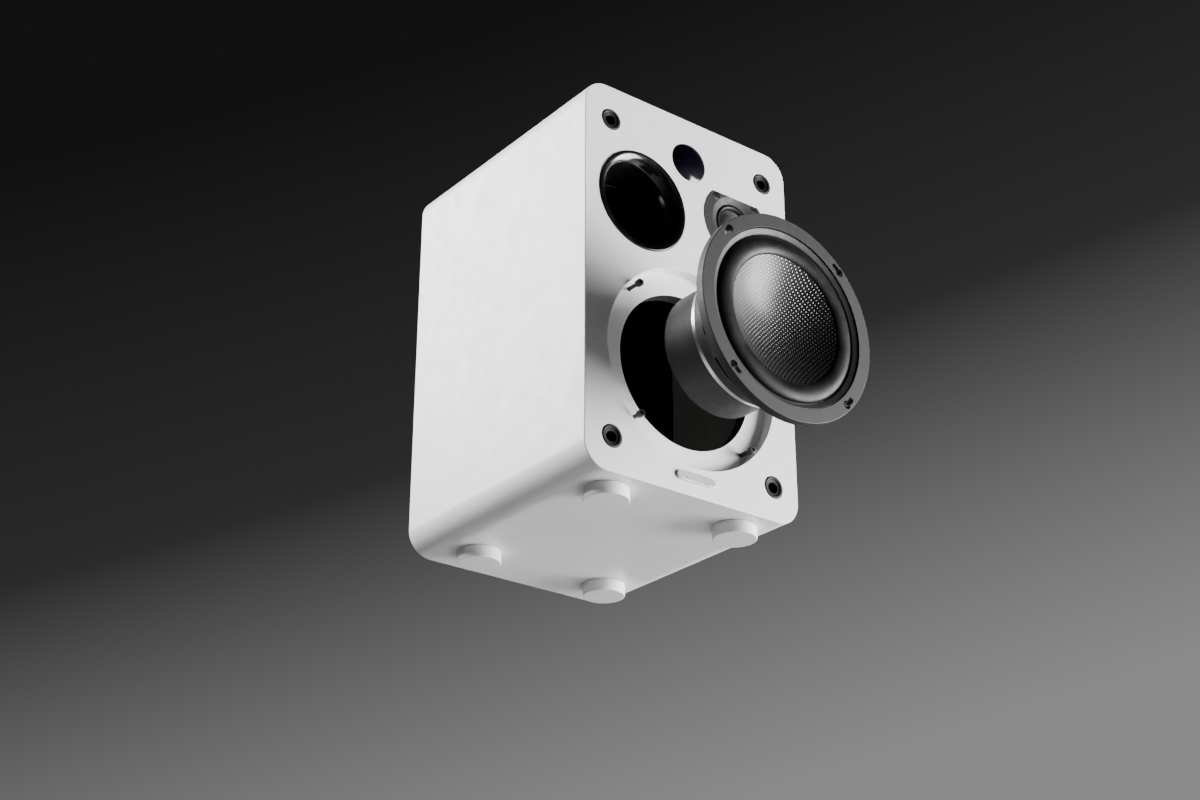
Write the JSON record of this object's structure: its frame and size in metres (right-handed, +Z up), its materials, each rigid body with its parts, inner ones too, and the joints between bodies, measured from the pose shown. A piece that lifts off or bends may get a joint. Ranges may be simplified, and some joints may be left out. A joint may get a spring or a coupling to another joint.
{
  "type": "bookshelf speaker",
  "caption": "Powered two-way bookshelf speaker: rounded lacquered cabinet, port, dome tweeter and a woofer drawn out of its opening on keyhole screws.",
  "frame": {"origin": "on the floor, under the middle of the whole object's bounding box with the woofer drawn out", "axes": "+Z up, the baffle faces -Y, +X is to the right of someone who faces the baffle"},
  "size_m": [0.185, 0.3202, 0.302],
  "materials": {
    "white_lacquer": "satin lacquer",
    "white_foot": "satin",
    "fibreboard": "bare",
    "wadding": "felted",
    "black_rubber": "matte",
    "black_gloss": "gloss",
    "black_matte": "matte",
    "black_screw": "black oxide",
    "violet_lens": "gloss",
    "circuit_board": "solder mask",
    "silver": "bright",
    "dark_grey": "satin",
    "flange_grey": "moulded satin",
    "zinc_steel": "zinc plated",
    "ferrite": "matte",
    "copper": "enamelled wire",
    "woven_fibre": "woven, lacquered",
    "treated_cloth": "stiffened",
    "black_plate": "black powder coat",
    "red_plastic": "gloss"
  },
  "bodies": {
    "cabinet": {"cabinet_shell": "white_lacquer", "rear_panel": "white_lacquer", "inner_brace": "fibreboard", "wadding_left": "wadding", "wadding_right": "wadding", "foot_front_left": "white_foot", "foot_front_right": "white_foot", "foot_rear_left": "white_foot", "foot_rear_right": "white_foot", "grille_socket_1": "black_rubber", "grille_socket_2": "black_rubber", "grille_socket_3": "black_rubber", "grille_socket_4": "black_rubber", "port_flare": "black_gloss", "port_tube": "black_matte", "sensor_lens": "violet_lens", "sensor_board": "circuit_board", "nameplate": "silver", "tweeter_faceplate": "dark_grey", "tweeter_surround": "silver", "tweeter_front_plate": "zinc_steel", "tweeter_magnet": "ferrite", "tweeter_back_cup": "black_matte", "tweeter_screw_1": "black_screw", "tweeter_screw_2": "black_screw", "tweeter_screw_3": "black_screw", "tweeter_screw_4": "black_screw", "woofer_screw_1": "black_screw", "woofer_screw_2": "black_screw", "woofer_screw_3": "black_screw", "woofer_screw_4": "black_screw", "amplifier_plate": "black_plate", "mains_inlet": "black_matte", "switch_frame": "black_matte", "speaker_posts": "black_matte", "input_jacks": "black_matte", "control_pots": "circuit_board", "amplifier_board": "circuit_board", "transformer": "zinc_steel"},
    "gasket": {"woofer_gasket": "black_rubber"},
    "woofer": {"woofer_frame": "flange_grey", "woofer_trim_ring": "dark_grey", "woofer_surround": "black_rubber", "spider": "treated_cloth", "woofer_front_plate": "zinc_steel", "woofer_magnet": "ferrite", "woofer_back_plate": "zinc_steel", "bucking_magnet": "ferrite", "magnet_boot": "dark_grey", "woofer_terminals": "black_matte"},
    "cone": {"woofer_cone": "woven_fibre", "voice_coil": "copper"},
    "tweeter_diaphragm": {"tweeter_dome": "silver", "tweeter_coil": "copper"},
    "volume": {"volume_knob": "black_matte"},
    "bass": {"bass_knob": "black_matte"},
    "treble": {"treble_knob": "black_matte"},
    "rocker": {"power_rocker": "black_gloss"},
    "red_cap": {"post_cap_red": "red_plastic"},
    "black_cap": {"post_cap_black": "black_gloss"}
  },
  "joints": [
    {"name": "woofer_lift", "type": "slide", "parent": "cabinet", "child": "gasket", "axis": [0, -1, 0], "range_m": [-0.0952, 0.06]},
    {"name": "woofer_turn", "type": "hinge", "parent": "gasket", "child": "woofer", "pos_m": [0, -0.16005, 0.1034], "axis": [0, 1, 0], "range_deg": [0, 5]},
    {"name": "cone_travel", "type": "slide", "parent": "woofer", "child": "cone", "axis": [0, -1, 0], "range_m": [-0.004, 0.004], "stiffness_N_per_m": 900, "deforming": ["woofer_surround", "spider"]},
    {"name": "tweeter_travel", "type": "slide", "parent": "cabinet", "child": "tweeter_diaphragm", "axis": [0, -1, 0], "range_m": [-0.0003, 0.0003], "stiffness_N_per_m": 1500, "deforming": ["tweeter_surround"]},
    {"name": "volume_turn", "type": "hinge", "parent": "cabinet", "child": "volume", "pos_m": [0, 0.15015, 0.237], "axis": [0, 1, 0], "range_deg": [-150, 150]},
    {"name": "bass_turn", "type": "hinge", "parent": "cabinet", "child": "bass", "pos_m": [0.038, 0.15015, 0.237], "axis": [0, 1, 0], "range_deg": [-135, 135]},
    {"name": "treble_turn", "type": "hinge", "parent": "cabinet", "child": "treble", "pos_m": [-0.038, 0.15015, 0.237], "axis": [0, 1, 0], "range_deg": [-135, 135]},
    {"name": "rocker_tip", "type": "hinge", "parent": "cabinet", "child": "rocker", "pos_m": [0.032, 0.14245, 0.069], "axis": [1, 0, 0], "range_deg": [0, 16]},
    {"name": "red_cap_turn", "type": "hinge", "parent": "cabinet", "child": "red_cap", "pos_m": [0.041, 0.15315, 0.159], "axis": [0, 1, 0], "range_deg": [0, 720]},
    {"name": "black_cap_turn", "type": "hinge", "parent": "cabinet", "child": "black_cap", "pos_m": [0.019, 0.15315, 0.159], "axis": [0, 1, 0], "range_deg": [0, 720]}
  ]
}
